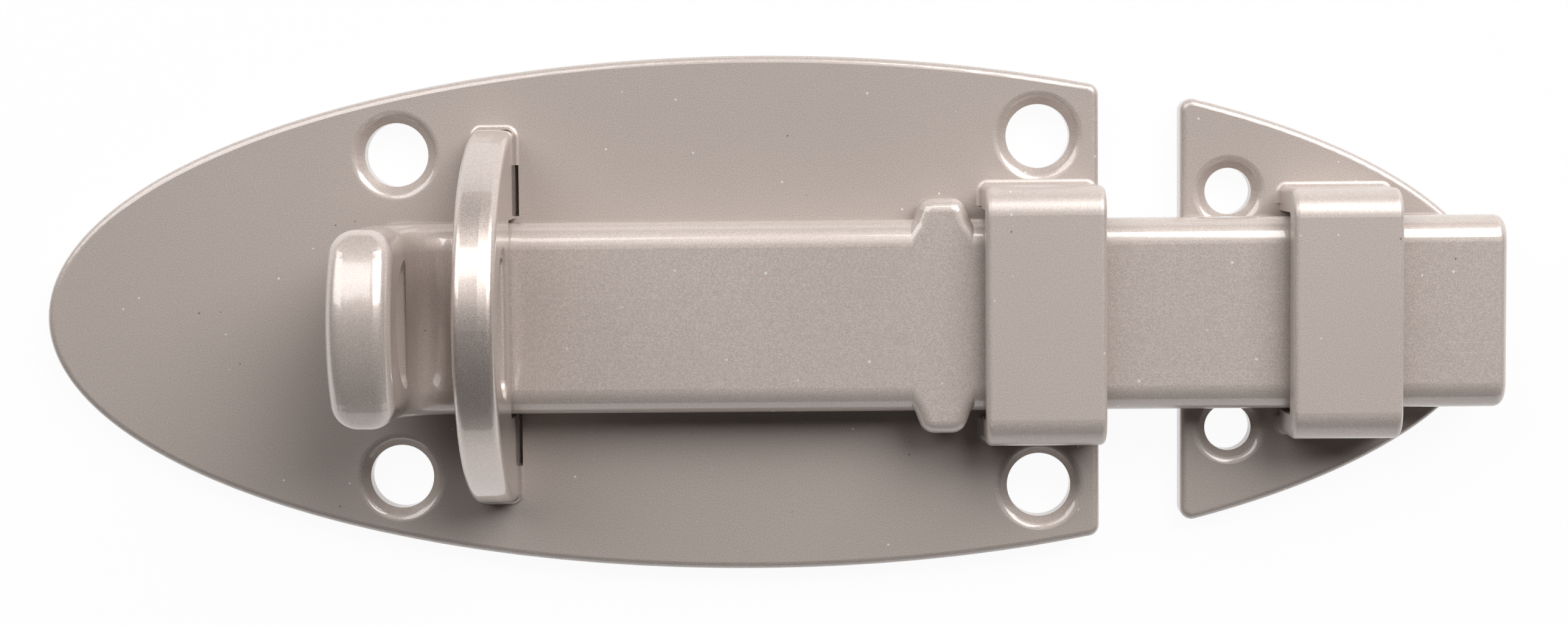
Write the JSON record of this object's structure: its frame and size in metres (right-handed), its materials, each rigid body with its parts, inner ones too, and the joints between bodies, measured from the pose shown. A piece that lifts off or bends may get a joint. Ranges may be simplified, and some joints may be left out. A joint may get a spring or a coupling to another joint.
{
  "type": "padbolt",
  "caption": "Oval steel padbolt: a flat bolt with a turned-up handle slides through a padlock lug and a guide strap on an oval plate into a matching keeper.",
  "frame": {"origin": "on the back of the plate, on its centre line, half-way along the plate's length", "axes": "+X is the way the bolt is thrown, +Y runs across the bolt, +Z stands off the door"},
  "size_m": [0.1251, 0.0444, 0.0213],
  "materials": {
    "plate_coat": "satin metallic",
    "strap_coat": "satin metallic",
    "lug_coat": "satin metallic",
    "bolt_coat": "satin metallic"
  },
  "bodies": {
    "base": {"back_plate": "plate_coat", "guide_strap": "strap_coat", "padlock_lug": "lug_coat", "keeper_plate": "plate_coat", "keeper_strap": "strap_coat"},
    "bolt": {"bolt": "bolt_coat"}
  },
  "joints": [
    {"name": "bolt_slide", "type": "slide", "parent": "base", "child": "bolt", "axis": [1, 0, 0], "range_m": [-0.034, 0.0012]}
  ]
}
